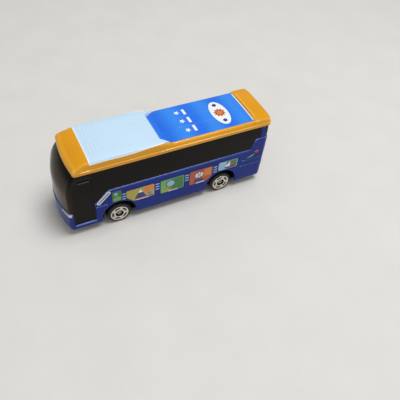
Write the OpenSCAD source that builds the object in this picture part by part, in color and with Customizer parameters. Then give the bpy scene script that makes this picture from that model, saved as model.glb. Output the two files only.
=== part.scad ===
// Toy tour bus, about 80 mm long.
// A blue body casting, a smoked glazing insert and a yellow roof casting are stacked
// and clamped to a plastic base by two long posts under the roof.
// Four wheels turn freely on two axle pins, which the base's ribs hold.
// Frame: +X is forward, +Y is the bus's left, +Z is up, and the origin is on the ground.

/* [Overall] */
// Length over the nose and the tail
bus_l = 79.6; // [76:0.2:84]
// Width over the body's sides
bus_w = 20.6; // [20:0.1:22]
// Height of the body's lower edge
floor_z = 2.8; // [2.5:0.05:3.2]
// Height of the window belt
belt_z = 17.8; // [17.4:0.1:18.6]
// Height of the eave, where the glass ends
eave_z = 27.9; // [26:0.1:30]

/* [Outline] */
// Bow of the nose in plan
front_bow = 1.7; // [1:0.1:2.4]
// Radius of the upright front corners
front_corner_r = 1.2; // [1:0.1:1.6]
// Radius of the upright rear corners
rear_corner_r = 1.5; // [1.4:0.1:2.2]
// How far the nose draws in at the floor
nose_tuck = 0.6; // [0.2:0.1:1]
// How far the windscreen leans back at the eave
screen_rake = 3.4; // [2:0.1:4.4]
// How far the tail draws in at the floor
tail_rake = 0.9; // [0.6:0.1:1.4]
// How far each side draws in at the eave
tumblehome = 0.2; // [0.1:0.05:0.4]
// Height of the rounding along the floor
sill_round = 1.2; // [0.8:0.1:1.5]
// How far each side draws in at the floor
sill_tuck = 0.15; // [0.05:0.05:0.25]

/* [Body casting] */
// Wall of the body casting
body_wall = 1.0; // [0.8:0.05:1.2]
// Height of the bumper, where the windscreen starts
bumper_z = 11.2; // [10.6:0.1:11.8]
// Distance of the door's front edge behind the nose
door_front = 3.4; // [3.2:0.1:3.8]
// Length of the door opening
door_l = 7.8; // [7.2:0.1:8]
// Height of the door sill
door_sill_z = 4.6; // [4.2:0.1:5.2]
// Height of the foot of the slanted belt behind the door
slant_foot_z = 12.9; // [12.4:0.1:13.6]
// Length of the slanted belt behind the door
slant_l = 4.8; // [4:0.1:5.4]
// Height of the rear quarter's ledge
quarter_z = 22.3; // [21:0.1:24]
// Distance of the rear quarter's foot ahead of the tail
quarter_l = 7.0; // [6.4:0.1:8]
// Run of the rear quarter's slant
quarter_run = 1.6; // [1:0.1:2]
// Width of each rear quarter beside the rear window
quarter_w = 3.1; // [2.8:0.1:4]
// Height of the rear window's lower edge
rear_glass_z = 16.6; // [15:0.1:17]
// Distance of the rear pillar's front edge ahead of the tail
pillar_front = 3.6; // [3.4:0.1:4.2]
// Length of the rear pillar at its foot
pillar_foot_l = 2.2; // [1.9:0.1:2.4]
// Length of the rear pillar at the eave
pillar_head_l = 1.5; // [1.2:0.1:1.8]
// Depth of the rear pillar under the body's side
pillar_inset = 0.45; // [0.4:0.05:0.55]
// Height of the crease line along the body
crease_z = 10.9; // [10.8:0.05:11.1]

/* [Roof casting] */
// Wall of the roof
roof_wall = 1.2; // [1:0.1:1.4]
// Height of the upright eave band
eave_h = 1.1; // [0.8:0.1:1.4]
// Height of the deck over the eave
deck_rise = 2.8; // [2.5:0.1:3.2]
// Width of the rounded shoulder beside the deck
shoulder_w = 0.9; // [0.6:0.1:1.1]
// How far the roof's nose leans back up to the deck
brow_rake = 2.0; // [1.4:0.1:2.6]
// How far the eave stands out over the glass line
eave_lip = 0.15; // [0.1:0.05:0.25]
// Width of the rim that rests on the glazing
roof_rim = 1.5; // [1.4:0.1:1.8]
// Height of the dome over the deck
dome_rise = 1.9; // [1.4:0.1:2.4]
// Gap between the dome's front foot and the deck's front edge
dome_front_gap = 0.4; // [0.2:0.1:1]
// Place of the dome's rear foot, ahead of the middle
dome_rear_x = -0.4; // [-1:0.1:0.4]
// Depth of the dome's foot under the roof's side
dome_inset = 0.35; // [0.3:0.05:0.6]
// Lean of each dome side
dome_lean = 0.3; // [0.2:0.1:0.6]
// Height of the raised block across the roof's tail
block_rise = 0.6; // [0.4:0.1:1.0]
// Rounding along the top of the raised block
block_round = 0.3; // [0.2:0.1:0.4]
// Distance of the front clamping post behind the front axle
front_post_gap = 11.1; // [10.8:0.1:12]
// Distance of the rear clamping post ahead of the rear axle
rear_post_gap = 12.1; // [11.6:0.1:13]
// Diameter of a clamping post
post_d = 2.6; // [2.4:0.1:3]

/* [Glazing] */
// Depth of the glass under the body's surface
glass_inset = 0.3; // [0.2:0.05:0.35]
// Wall of the glazing insert
glass_wall = 0.9; // [0.8:0.05:1]

/* [Wheels and axles] */
// Width of the body between the door and the front arch
arch_gap = 2.2; // [1.8:0.1:2.6]
// Distance of the rear axle ahead of the tail
rear_overhang = 18.7; // [18:0.1:19.2]
// Radius of the tyres
tyre_r = 4.4; // [4.2:0.05:4.6]
// Width of a wheel
wheel_w = 3.8; // [3.6:0.1:4]
// Radius of the silver hub ring
ring_r = 3.42; // [3.2:0.02:3.5]
// Radius of the hub's recess
recess_r = 1.47; // [1.2:0.01:1.6]
// Depth of the hub's recess
recess_h = 1.0; // [0.9:0.05:1.2]
// Number of slots in a hub ring
slot_count = 5; // [3:1:8]
// Radius of the wheel arches
arch_r = 6.3; // [6:0.05:6.4]
// Diameter of an axle
axle_d = 1.2; // [1:0.05:1.3]
// Diameter of an axle's upset heads
axle_head_d = 1.6; // [1.5:0.05:1.8]

/* [Base and inside] */
// Thickness of the base plate
base_t = 1.4; // [1.2:0.1:1.5]
// Gap between the base plate and the body's walls
base_side_gap = 0.5; // [0.3:0.05:0.8]
// Gap between a bearing rib and its wheel
rib_gap = 0.9; // [0.7:0.1:1.2]
// Thickness of a bearing rib
rib_t = 1.0; // [0.8:0.1:1.2]
// Length of a bearing rib
rib_l = 8.0; // [6:0.1:10]
// Thickness of the seat tray's floor
tray_t = 0.8; // [0.6:0.1:1]
// Room for the driver between the first seats and the dash
driver_room = 6.0; // [4:0.1:7]
// Distance from one seat row to the next
seat_pitch = 6.0; // [5.4:0.1:6]
// Height of a seat's back
seat_back_h = 6.4; // [5:0.1:8]

/* [Trim] */
// Thickness of the labels and prints
label_t = 0.06; // [0.04:0.01:0.1]
// Length of a picture tile
tile_l = 6.8; // [5:0.1:7]
// Height of a picture tile
tile_h = 5.2; // [4:0.1:5.4]
// Distance from one tile to the next
tile_pitch = 8.6; // [7.4:0.1:8.8]
// Width of the silver quarter trim
trim_w = 1.5; // [1.2:0.1:1.8]
// How far the quarter trim stands out
trim_proud = 0.25; // [0.15:0.05:0.35]
// Height of a headlamp
headlamp_h = 1.6; // [1.2:0.1:2]
// Height of a tail lamp
tail_lamp_h = 3.2; // [2.4:0.1:3.6]
// Width of a tail lamp
tail_lamp_w = 2.6; // [2:0.1:2.8]

/* [Hidden] */
$fn = 48;
overrun = 2;
least_r = 0.1;
corner_steps = 4;
cheek_steps = 3;
cheek_angle = 20;
bow_shares = [-0.66, -0.33, 0, 0.33, 0.66];
fit = 0.05;
half_l = bus_l / 2;
half_w = bus_w / 2;
deck_z = eave_z + deck_rise;
shoulder_rise = deck_rise - eave_h;
shoulder_mid_share = 0.72;
shoulder_in_share = 0.4;
brow_mid_share = 0.45;

// Levels of the outer surface, from the floor to the eave
skirt_tail_share = 0.9;
belt_tail_share = 0.33;
brow_share = 0.62;
brow_rake_share = 0.24;
brow_tail_share = 0.12;
brow_side_share = 0.5;
brow_z = belt_z + (eave_z - belt_z) * brow_share;
// Each level holds its height and how far the nose, the tail and the sides draw in there
levels = [
    [floor_z, nose_tuck, tail_rake, sill_tuck],
    [floor_z + sill_round, 0, tail_rake * skirt_tail_share, 0],
    [belt_z, 0, tail_rake * belt_tail_share, 0],
    [brow_z, screen_rake * brow_rake_share, tail_rake * brow_tail_share, tumblehome * brow_side_share],
    [eave_z, screen_rake, eave_lip, tumblehome]];
eave_level = levels[len(levels) - 1];

// Places on the body's side
door_front_x = half_l - door_front;
door_rear_x = door_front_x - door_l;
door_deep = 5.3;
door_reach = half_w - door_deep;
slant_gap = 0.2;
slant_x = door_rear_x - slant_gap;
slant_top_x = slant_x - slant_l;
quarter_x = -half_l + quarter_l;
pillar_x = -half_l + pillar_front;
rear_glass_reach = 5;
rear_glass_w = bus_w - 2 * quarter_w;
crease_h = 0.35;
crease_proud = 0.12;
rear_crease_l = 7.2;
corner_clear = 0.4;
lug_l = 6.4;
lug_w = 8;
lug_h = 2;
lug_share = 0.8;
rear_lug_share = 0.4;

// Axles and wheels
axle_z = tyre_r;
axle_r = axle_d / 2;
front_axle_x = door_rear_x - arch_gap - arch_r;
rear_axle_x = -half_l + rear_overhang;
axle_xs = [front_axle_x, rear_axle_x];
wheel_tuck = 0.1;
hub_y = half_w - wheel_tuck;
wheel_in_y = hub_y - wheel_w;
rib_y = wheel_in_y - rib_gap;
boss_r = 1.4;
tyre_round = 0.6;
tyre_step = 0.15;
slot_r_share = 0.72;
slot_deep_share = 0.16;
slot_long_share = 0.38;
slot_cut = 0.25;
head_t = 0.45;
end_play = 0.1;
head_in_y = hub_y - recess_h + end_play;

// Base, posts, rivets and seats
base_top_gap = 0.2;
base_top_z = axle_z - axle_r - base_top_gap;
base_z = base_top_z - base_t;
base_front_x = half_l - nose_tuck - front_bow - front_corner_r - body_wall - corner_clear;
tail_clear = 0.8;
base_w = bus_w - 2 * (body_wall + base_side_gap);
base_rear_x = -half_l + tail_rake + body_wall + tail_clear;
wheel_clear = 0.9;
tray_gap = 0.2;
tray_z = axle_z + arch_r + tray_gap;
tray_w = bus_w - 2 * (body_wall + corner_clear);
tray_front_x = base_front_x;
tray_rear_x = base_rear_x;
post_xs = [rear_axle_x + rear_post_gap, front_axle_x - front_post_gap];
post_r = post_d / 2;
rivet_r = 0.6;
rivet_h = 5;
rivet_head_r = 1.7;
rivet_head_h = 0.5;
seat_l = 3;
seat_h = 1.8;
seat_back_t = 1;
seat_aisle = 4.4;
seat_side_gap = 1.1;
seat_w = (tray_w - seat_aisle) / 2 - seat_side_gap;
dash_l = 2.4;
dash_h = 2.6;
dash_gap = 1.4;
dash_w = tray_w - 2 * dash_gap;
seat_start = 7.8;
first_seat_x = tray_rear_x + seat_start;
seat_rows = floor((tray_front_x - dash_l - driver_room - first_seat_x) / seat_pitch);

// Labels and trim
dome_steps = 20;
dome_l = half_l - screen_rake - brow_rake - dome_front_gap - dome_rear_x;
deck_half_w = half_w - tumblehome - shoulder_w;
front_label_first = 2;
front_label_last = 17;
front_label_gap = 0.2;
front_label_w = 2 * (half_w - tumblehome - dome_inset - dome_lean - front_label_gap);
rear_label_gap = 0.4;
rear_label_w = 2 * (deck_half_w - rear_label_gap);
rear_label_front_x = 2.9;
rear_label_end = 7.2;
rear_label_chamfer = 2.9;
rear_label_chamfer_w = 1.9;
block_gap = 0.3;
block_inset = 0.45;
block_front_x = -half_l + rear_label_end - block_gap;
tile_gap = 0.6;
tile_z = axle_z + arch_r + tile_gap;
tile_front_gap = 1.6;
tile_rear_gap = 2;
tile_first_x = slant_top_x - tile_front_gap - tile_l;
tile_count = floor((tile_first_x + tile_l - quarter_x - tile_rear_gap) / tile_pitch);
headlamp_back = 2.9;
headlamp_w = 4.3;
headlamp_in_y = half_w - headlamp_w;
tail_lamp_z = 7.2;
tail_lamp_side_gap = 1.3;
tail_lamp_in_y = half_w - tail_lamp_side_gap - tail_lamp_w;
tail_lamp_deep = 1.9;

// Colours
blue = [0.13, 0.19, 0.47];
yellow = [0.90, 0.60, 0.10];
smoke = [0.13, 0.10, 0.11];
black = [0.07, 0.07, 0.08];
grey = [0.30, 0.31, 0.33];
steel = [0.66, 0.67, 0.69];
silver = [0.82, 0.83, 0.84];
pale = [0.80, 0.90, 0.98];
sky = [0.19, 0.49, 0.90];
red = [0.70, 0.08, 0.08];
green = [0.35, 0.62, 0.30];

// Points of an arc about a centre
function arc(x, y, r, from, to, steps) =
    [for (i = [0 : steps]) let (a = from + (to - from) * i / steps) [x + r * cos(a), y + r * sin(a)]];

// One plan of the bus at a height: a bowed nose and four round corners, drawn in by an inset
function plan_ring(z, nose_in, tail_in, side_in, inset) =
    let (nose_r = max(least_r, front_corner_r - inset),
        tail_r = max(least_r, rear_corner_r - inset),
        half = half_w - side_in - inset,
        nose = half_l - nose_in - inset,
        tail = -half_l + tail_in + inset,
        cheek_x = nose - front_bow - nose_r,
        cheek_y = half - nose_r,
        points = concat(
            arc(tail + tail_r, tail_r - half, tail_r, 180, 270, corner_steps),
            arc(cheek_x, -cheek_y, nose_r, 270, 360 - cheek_angle, cheek_steps),
            [for (s = bow_shares) [nose - front_bow * s * s, s * cheek_y]],
            arc(cheek_x, cheek_y, nose_r, cheek_angle, 90, cheek_steps),
            arc(tail + tail_r, half - tail_r, tail_r, 90, 180, corner_steps)))
    [for (p = points) [p[0], p[1], z]];

// A closed skin over a stack of rings with equal numbers of points
module loft(rings) {
    n = len(rings[0]);
    last = len(rings) - 1;
    polyhedron(
        points = [for (ring = rings, p = ring) p],
        faces = concat(
            [[for (j = [0 : n - 1]) j]],
            [[for (j = [n - 1 : -1 : 0]) last * n + j]],
            [for (i = [0 : last - 1], j = [0 : n - 1])
                [i * n + j, (i + 1) * n + j, (i + 1) * n + (j + 1) % n]],
            [for (i = [0 : last - 1], j = [0 : n - 1])
                [i * n + j, (i + 1) * n + (j + 1) % n, i * n + (j + 1) % n]]));
}

// The outer surface from floor to eave, drawn in by an inset and stretched past both ends
module envelope(inset, stretch = 0) {
    first = levels[0];
    past_ends = stretch == 0 ? levels : concat(
        [[first[0] - stretch, first[1], first[2], first[3]]], levels,
        [[eave_level[0] + stretch, eave_level[1], eave_level[2], eave_level[3]]]);
    loft([for (level = past_ends) plan_ring(level[0], level[1], level[2], level[3], inset)]);
}

// A side view outline made into a slab across the bus
module side_slab(points, y_from, y_to) {
    translate([0, y_to, 0])
        rotate([90, 0, 0])
            linear_extrude(y_to - y_from)
                polygon(points);
}

// Space that the body casting takes, below the belt and around the door and the rear window
module belt_space() {
    ahead = half_l + overrun;
    wide = half_w + overrun;
    difference() {
        side_slab([[-ahead, floor_z], [ahead, floor_z], [ahead, bumper_z], [door_front_x, bumper_z],
            [slant_x, slant_foot_z], [slant_top_x, belt_z], [quarter_x, belt_z],
            [quarter_x - quarter_run, quarter_z], [-ahead, quarter_z]], -wide, wide);
        translate([door_rear_x, door_reach, door_sill_z])
            cube([door_l, wide, eave_z]);
        translate([-ahead, -rear_glass_w / 2, rear_glass_z])
            cube([rear_glass_reach, rear_glass_w, eave_z]);
    }
}

// Space that the two rear pillars take, between the ledge and the eave
module pillar_space() {
    wide = half_w + overrun;
    foot_z = quarter_z - overrun;
    head_z = eave_z + overrun;
    side_slab([[pillar_x, foot_z], [pillar_x, head_z], [pillar_x - pillar_head_l, head_z],
        [pillar_x - pillar_foot_l, foot_z]], -wide, wide);
}

// Box around one headlamp, which a cut runs past the bumper's top
module headlamp_box(side, past = 0) {
    wide = half_w + overrun - headlamp_in_y;
    y_from = side > 0 ? headlamp_in_y : -headlamp_in_y - wide;
    translate([half_l - headlamp_back, y_from, bumper_z - headlamp_h])
        cube([headlamp_back + overrun, wide, headlamp_h + past]);
}

// Box around one tail lamp
module tail_lamp_box(side) {
    translate([-half_l - overrun, side > 0 ? tail_lamp_in_y : -tail_lamp_in_y - tail_lamp_w, tail_lamp_z])
        cube([overrun + tail_lamp_deep, tail_lamp_w, tail_lamp_h]);
}

// A crease line on one side of the body, half sunk in the wall
module crease(side, x_from, length) {
    thick = crease_proud + body_wall / 2;
    translate([x_from, side > 0 ? half_w - body_wall / 2 : -half_w - crease_proud, crease_z])
        cube([length, thick, crease_h]);
}

// Blue casting with bumper, sill, arches, rear quarters and rear pillars
module body_casting() color(blue) {
    rear_crease_x = -half_l + rear_corner_r + tail_rake;
    difference() {
        union() {
            intersection() {
                envelope(0);
                belt_space();
            }
            intersection() {
                envelope(pillar_inset);
                pillar_space();
            }
        }
        envelope(body_wall, overrun);
        for (x = axle_xs)
            translate([x, half_w + overrun, axle_z])
                rotate([90, 0, 0])
                    cylinder(r = arch_r, h = bus_w + 2 * overrun);
        for (side = [-1, 1]) {
            headlamp_box(side, overrun);
            tail_lamp_box(side);
        }
    }
    for (side = [-1, 1]) {
        crease(side, slant_top_x, slant_l);
        crease(side, rear_crease_x, rear_crease_l);
    }
    translate([half_l - body_wall * lug_share - lug_l, -lug_w / 2, base_top_z])
        cube([lug_l, lug_w, lug_h]);
    translate([-half_l + tail_rake + body_wall * rear_lug_share, -lug_w / 2, base_top_z])
        cube([lug_l, lug_w, lug_h]);
}

// One plan of the roof at a height, with its nose drawn back
function roof_ring(z, nose_back, inset) =
    plan_ring(z, eave_level[1] + nose_back, eave_level[2], eave_level[3], inset);

// Rise of the dome over the deck at a share of its length, as a share of its full height
function dome_height_share(s) = pow(1 - pow(abs(2 * s - 1), 3), 0.6);
function dome_point(i, lift) = [dome_rear_x + dome_l * i / dome_steps,
    deck_z + dome_rise * dome_height_share(i / dome_steps) + lift];

// Raised dome on the front half of the roof, notched at the rear for the rear label
module dome() {
    foot_z = deck_z - roof_wall / 2;
    top_z = deck_z + dome_rise + label_t;
    difference() {
        intersection() {
            side_slab(concat([for (i = [0 : dome_steps]) dome_point(i, 0)],
                [[dome_rear_x + dome_l, foot_z], [dome_rear_x, foot_z]]), -half_w, half_w);
            loft([roof_ring(foot_z, brow_rake, dome_inset), roof_ring(deck_z, brow_rake, dome_inset),
                roof_ring(top_z, brow_rake, dome_inset + dome_lean)]);
        }
        translate([0, 0, deck_z])
            linear_extrude(dome_rise + overrun)
                rear_label_outline();
    }
}

// Raised block across the roof's tail, behind the rear label
module tail_block() {
    foot_z = deck_z - roof_wall / 2;
    top_z = deck_z + block_rise;
    end_x = -half_l - overrun;
    intersection() {
        side_slab([[end_x, foot_z], [end_x, top_z], [block_front_x - block_round, top_z],
            [block_front_x, top_z - block_round], [block_front_x, foot_z]], -half_w, half_w);
        loft([roof_ring(foot_z, brow_rake, block_inset),
            roof_ring(top_z - block_round, brow_rake, block_inset),
            roof_ring(top_z, brow_rake, block_inset + block_round)]);
    }
}

// Yellow casting: eaves, deck, dome, tail block and the two clamping posts
module roof_casting() color(yellow) {
    difference() {
        loft([roof_ring(eave_z, 0, -eave_lip), roof_ring(eave_z + eave_h, 0, -eave_lip),
            roof_ring(eave_z + eave_h + shoulder_rise * shoulder_mid_share, brow_rake * brow_mid_share,
                shoulder_w * shoulder_in_share),
            roof_ring(deck_z, brow_rake, shoulder_w)]);
        loft([roof_ring(eave_z - overrun, brow_rake, roof_rim),
            roof_ring(deck_z - roof_wall, brow_rake, roof_rim)]);
    }
    dome();
    tail_block();
    difference() {
        for (x = post_xs)
            translate([x, 0, base_top_z])
                cylinder(r = post_r, h = deck_z - roof_wall / 2 - base_top_z);
        for (x = post_xs)
            translate([x, 0, base_top_z - overrun])
                cylinder(r = rivet_r + fit, h = rivet_h + overrun);
    }
}

// Space behind the rear pillars
module tail_space() {
    wide = half_w + overrun;
    translate([-half_l - overrun, -wide, floor_z - overrun])
        cube([overrun + pillar_front - pillar_head_l / 2, 2 * wide, eave_z + overrun]);
}

// Takes the hollow of the bus, the body casting and the rear pillars out of a glass block
module as_glass() {
    difference() {
        children();
        envelope(glass_inset + glass_wall, overrun);
        belt_space();
        pillar_space();
    }
}

// One smoked moulding: windscreen, side glass and the door's glass
module window_insert() color(smoke)
    as_glass()
        difference() {
            envelope(glass_inset);
            tail_space();
        }

// Smoked rear window
module rear_window() color(smoke)
    as_glass()
        intersection() {
            envelope(glass_inset);
            tail_space();
        }

// Floor over the wheels with rows of seats and the dash
module seat_tray() color(grey) {
    difference() {
        translate([tray_rear_x, -tray_w / 2, tray_z])
            cube([tray_front_x - tray_rear_x, tray_w, tray_t]);
        for (x = post_xs)
            translate([x, 0, tray_z - overrun])
                cylinder(r = post_r + fit, h = tray_t + 2 * overrun);
    }
    for (row = [0 : seat_rows - 1], side = [-1, 1])
        translate([row * seat_pitch + first_seat_x, side * (seat_aisle + seat_w) / 2, tray_z + tray_t])
            seat();
    translate([tray_front_x - dash_l, -dash_w / 2, tray_z + tray_t])
        cube([dash_l, dash_w, dash_h]);
}

// One double seat, with its back at the rear
module seat() {
    translate([0, -seat_w / 2, 0])
        cube([seat_l, seat_w, seat_h]);
    translate([0, -seat_w / 2, 0])
        cube([seat_back_t, seat_w, seat_back_h]);
}

// Black base plate with the ribs that hold the axles
module chassis_base() color(black) {
    difference() {
        translate([base_rear_x, -base_w / 2, base_z])
            cube([base_front_x - base_rear_x, base_w, base_t]);
        for (x = axle_xs, side = [-1, 1])
            translate([x - tyre_r - wheel_clear, side > 0 ? rib_y : -rib_y - base_w, base_z - overrun])
                cube([2 * (tyre_r + wheel_clear), base_w, base_t + 2 * overrun]);
        for (x = post_xs) {
            translate([x, 0, base_z - overrun])
                cylinder(r = rivet_r + fit, h = base_t + 2 * overrun);
            translate([x, 0, base_z - overrun])
                cylinder(r = rivet_head_r + fit, h = rivet_head_h + overrun);
        }
    }
    for (x = axle_xs, side = [-1, 1])
        bearing_rib(x, side);
}

// Upright rib with a bore for the axle
module bearing_rib(x, side) {
    difference() {
        translate([x - rib_l / 2, side > 0 ? rib_y - rib_t : -rib_y, base_top_z - base_t / 2])
            cube([rib_l, rib_t, tray_z - base_top_z + base_t / 2]);
        translate([x, half_w, axle_z])
            rotate([90, 0, 0])
                cylinder(r = axle_r + fit, h = bus_w);
    }
}

// Two rivets that hold the base to the posts, with their heads sunk flush
module base_rivets() color(steel)
    for (x = post_xs) {
        translate([x, 0, base_z])
            cylinder(r = rivet_head_r, h = rivet_head_h);
        translate([x, 0, base_z])
            cylinder(r = rivet_r, h = base_t + rivet_h);
    }

// Steel pin with an upset head in each wheel's recess
module axle(x) color(steel)
    translate([x, 0, axle_z])
        rotate([90, 0, 0]) {
            cylinder(r = axle_r, h = 2 * head_in_y, center = true);
            for (side = [-1, 1])
                translate([0, 0, side * (head_in_y + head_t / 2)])
                    cylinder(r = axle_head_d / 2, h = head_t, center = true);
        }

// Places a shape drawn along +Z, with z = 0 at the wheel's inner face, at one wheel
module at_wheel(x, side) {
    translate([x, 0, axle_z])
        mirror([0, side > 0 ? 0 : 1, 0])
            translate([0, wheel_in_y, 0])
                rotate([-90, 0, 0])
                    children();
}

// The slots round a hub ring
module hub_slots(z, h) {
    for (i = [0 : slot_count - 1])
        rotate(i * 360 / slot_count)
            translate([ring_r * slot_r_share, 0, z + h / 2])
                cube([ring_r * slot_deep_share, ring_r * slot_long_share, h], center = true);
}

// Black wheel with a moulded tyre, a recessed hub and a boss on its inner side
module wheel(x, side) color(black)
    at_wheel(x, side) {
        face_z = wheel_w - label_t;
        tread_r = tyre_r - tyre_round;
        boss_z = rib_y + end_play - wheel_in_y;
        difference() {
            rotate_extrude()
                polygon([[axle_r + fit, boss_z], [boss_r, boss_z], [boss_r, 0], [tread_r, 0],
                    [tyre_r, tyre_round], [tyre_r, face_z - tyre_round], [tread_r, face_z - tyre_step],
                    [ring_r, face_z - tyre_step], [ring_r, face_z], [recess_r, face_z],
                    [recess_r, wheel_w - recess_h], [axle_r + fit, wheel_w - recess_h]]);
            hub_slots(face_z - slot_cut, slot_cut + overrun);
        }
    }

// Silver ring stamped on a wheel's face
module foil(x, side) color(silver)
    at_wheel(x, side)
        difference() {
            translate([0, 0, wheel_w - label_t])
                cylinder(r = ring_r, h = label_t);
            translate([0, 0, wheel_w - overrun])
                cylinder(r = recess_r, h = 2 * overrun);
            hub_slots(wheel_w - overrun, 2 * overrun);
        }

// Pale label on the dome
module roof_label_front() color(pale)
    side_slab(concat([for (i = [front_label_first : front_label_last]) dome_point(i, label_t)],
        [for (i = [front_label_last : -1 : front_label_first]) dome_point(i, 0)]),
        -front_label_w / 2, front_label_w / 2);

// Outline of the rear label, with its front corners cut off
module rear_label_outline() {
    half = rear_label_w / 2;
    neck = half - rear_label_chamfer_w;
    back_x = rear_label_front_x - rear_label_chamfer;
    rear_x = -half_l + rear_label_end;
    polygon([[rear_x, -half], [back_x, -half], [rear_label_front_x, -neck],
        [rear_label_front_x, neck], [back_x, half], [rear_x, half]]);
}

// Blue label on the deck behind the dome
module roof_label_rear() color(sky)
    translate([0, 0, deck_z])
        linear_extrude(label_t)
            rear_label_outline();

// Row of picture tiles on one side
module side_prints(side) color(green)
    for (i = [0 : tile_count - 1])
        translate([tile_first_x - i * tile_pitch, side > 0 ? half_w : -half_w - label_t, tile_z])
            cube([tile_l, label_t, tile_h]);

// Slanted silver trim along the belt behind the door
module quarter_trim(side) color(silver) {
    rise = belt_z - slant_foot_z;
    slant = atan2(rise, -slant_l);
    run = sqrt(rise * rise + slant_l * slant_l) - trim_w;
    translate([slant_x, side > 0 ? half_w : -half_w - trim_proud, slant_foot_z])
        rotate([0, -slant, 0])
            translate([trim_w / 2, 0, trim_w / 2]) {
                translate([0, 0, -trim_w / 2])
                    cube([run, trim_proud, trim_w]);
                for (end = [0, run])
                    translate([end, trim_proud, 0])
                        rotate([90, 0, 0])
                            cylinder(r = trim_w / 2, h = trim_proud);
            }
}

// Slim lamp on a corner of the bumper
module headlamp(side) color(silver)
    intersection() {
        envelope(0);
        headlamp_box(side);
    }

// Lamp in the tail
module tail_lamp(side) color(red)
    intersection() {
        envelope(0);
        tail_lamp_box(side);
    }

body_casting();
roof_casting();
window_insert();
rear_window();
seat_tray();
chassis_base();
base_rivets();
axle(front_axle_x);  // front_axle
axle(rear_axle_x);  // rear_axle
wheel(front_axle_x, 1);  // wheel_front_left
wheel(front_axle_x, -1);  // wheel_front_right
wheel(rear_axle_x, 1);  // wheel_rear_left
wheel(rear_axle_x, -1);  // wheel_rear_right
foil(front_axle_x, 1);  // foil_front_left
foil(front_axle_x, -1);  // foil_front_right
foil(rear_axle_x, 1);  // foil_rear_left
foil(rear_axle_x, -1);  // foil_rear_right
roof_label_front();
roof_label_rear();
side_prints(1);  // side_prints_left
side_prints(-1);  // side_prints_right
quarter_trim(1);  // quarter_trim_left
quarter_trim(-1);  // quarter_trim_right
headlamp(1);  // headlamp_left
headlamp(-1);  // headlamp_right
tail_lamp(1);  // tail_lamp_left
tail_lamp(-1);  // tail_lamp_right
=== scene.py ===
import math

import bmesh
import bpy
import numpy as np
from mathutils import Matrix, Vector
from mathutils.geometry import delaunay_2d_cdt


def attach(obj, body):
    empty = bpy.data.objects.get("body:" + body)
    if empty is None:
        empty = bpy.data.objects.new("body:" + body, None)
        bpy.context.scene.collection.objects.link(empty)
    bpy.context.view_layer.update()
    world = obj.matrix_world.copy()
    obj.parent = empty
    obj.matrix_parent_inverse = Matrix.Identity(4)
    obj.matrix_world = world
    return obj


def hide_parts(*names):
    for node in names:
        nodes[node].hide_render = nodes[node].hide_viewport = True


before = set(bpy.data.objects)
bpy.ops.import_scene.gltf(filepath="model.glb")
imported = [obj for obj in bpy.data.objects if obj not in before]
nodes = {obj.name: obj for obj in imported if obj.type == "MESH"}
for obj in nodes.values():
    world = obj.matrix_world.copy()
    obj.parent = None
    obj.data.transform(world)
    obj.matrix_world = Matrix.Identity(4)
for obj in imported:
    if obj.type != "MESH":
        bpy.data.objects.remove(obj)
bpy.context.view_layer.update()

# Sizes in millimetres, in the frame of the CAD model
MM = 0.001
HALF_L, HALF_W = 39.8, 10.3
FRONT_BOW, FRONT_R, REAR_R = 1.7, 1.2, 1.5
CHEEK_Y = HALF_W - FRONT_R
SIDE_X = HALF_L - FRONT_BOW - FRONT_R
FLOOR_Z, BELT_Z, EAVE_Z, DECK_Z = 2.8, 17.8, 27.9, 30.7
BUMPER_Z = 11.2
DOOR_FRONT_X, DOOR_REAR_X, SILL_Z = 36.4, 28.6, 4.6
SLANT_FOOT, SLANT_TOP = (28.4, 12.9), (23.6, BELT_Z)
QUARTER_X, LEDGE_X, LEDGE_Z = -32.8, -34.4, 22.3
REAR_GLASS_Y, REAR_GLASS_Z = 7.2, 16.6
AXLE_XS, AXLE_Z, ARCH_R = (20.1, -21.1), 4.4, 6.3
SIDES = {"left": 1, "right": -1}
WHEELS = {f"{end}_{name}": (x, side) for end, x in zip(("front", "rear"), AXLE_XS)
          for name, side in SIDES.items()}


# Plan of the bus and its outer surface

NOSE_POINTS, CORNER_POINTS, SIDE_POINTS, TAIL_POINTS = 60, 24, 160, 30
CORNER_FROM = 22  # degrees, where the bow of the nose runs into the round of its corner


def half_plan():
    """Dense points of the left half of the plan, from the nose's middle to the tail's."""
    pts = [(HALF_L - FRONT_BOW * (y / CHEEK_Y) ** 2, y) for y in np.linspace(0, CHEEK_Y, NOSE_POINTS)]
    for a in np.radians(np.linspace(CORNER_FROM, 90, CORNER_POINTS)):
        pts.append((SIDE_X + FRONT_R * math.cos(a), CHEEK_Y + FRONT_R * math.sin(a)))
    pts += [(x, HALF_W) for x in np.linspace(SIDE_X, REAR_R - HALF_L, SIDE_POINTS)[1:]]
    for a in np.radians(np.linspace(90, 180, TAIL_POINTS)[1:]):
        pts.append((REAR_R - HALF_L + REAR_R * math.cos(a), HALF_W - REAR_R + REAR_R * math.sin(a)))
    pts += [(-HALF_L, y) for y in np.linspace(HALF_W - REAR_R, 0, TAIL_POINTS)[1:]]
    return np.array(pts)


PLAN = half_plan()
RUN = np.concatenate([[0], np.cumsum(np.hypot(*np.diff(PLAN, axis=0).T))])
TURN = np.gradient(PLAN, RUN, axis=0)
TURN /= np.linalg.norm(TURN, axis=1)[:, None]
END = float(RUN[-1])
SIDE_RUN = float(RUN[NOSE_POINTS + CORNER_POINTS - 1])

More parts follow.
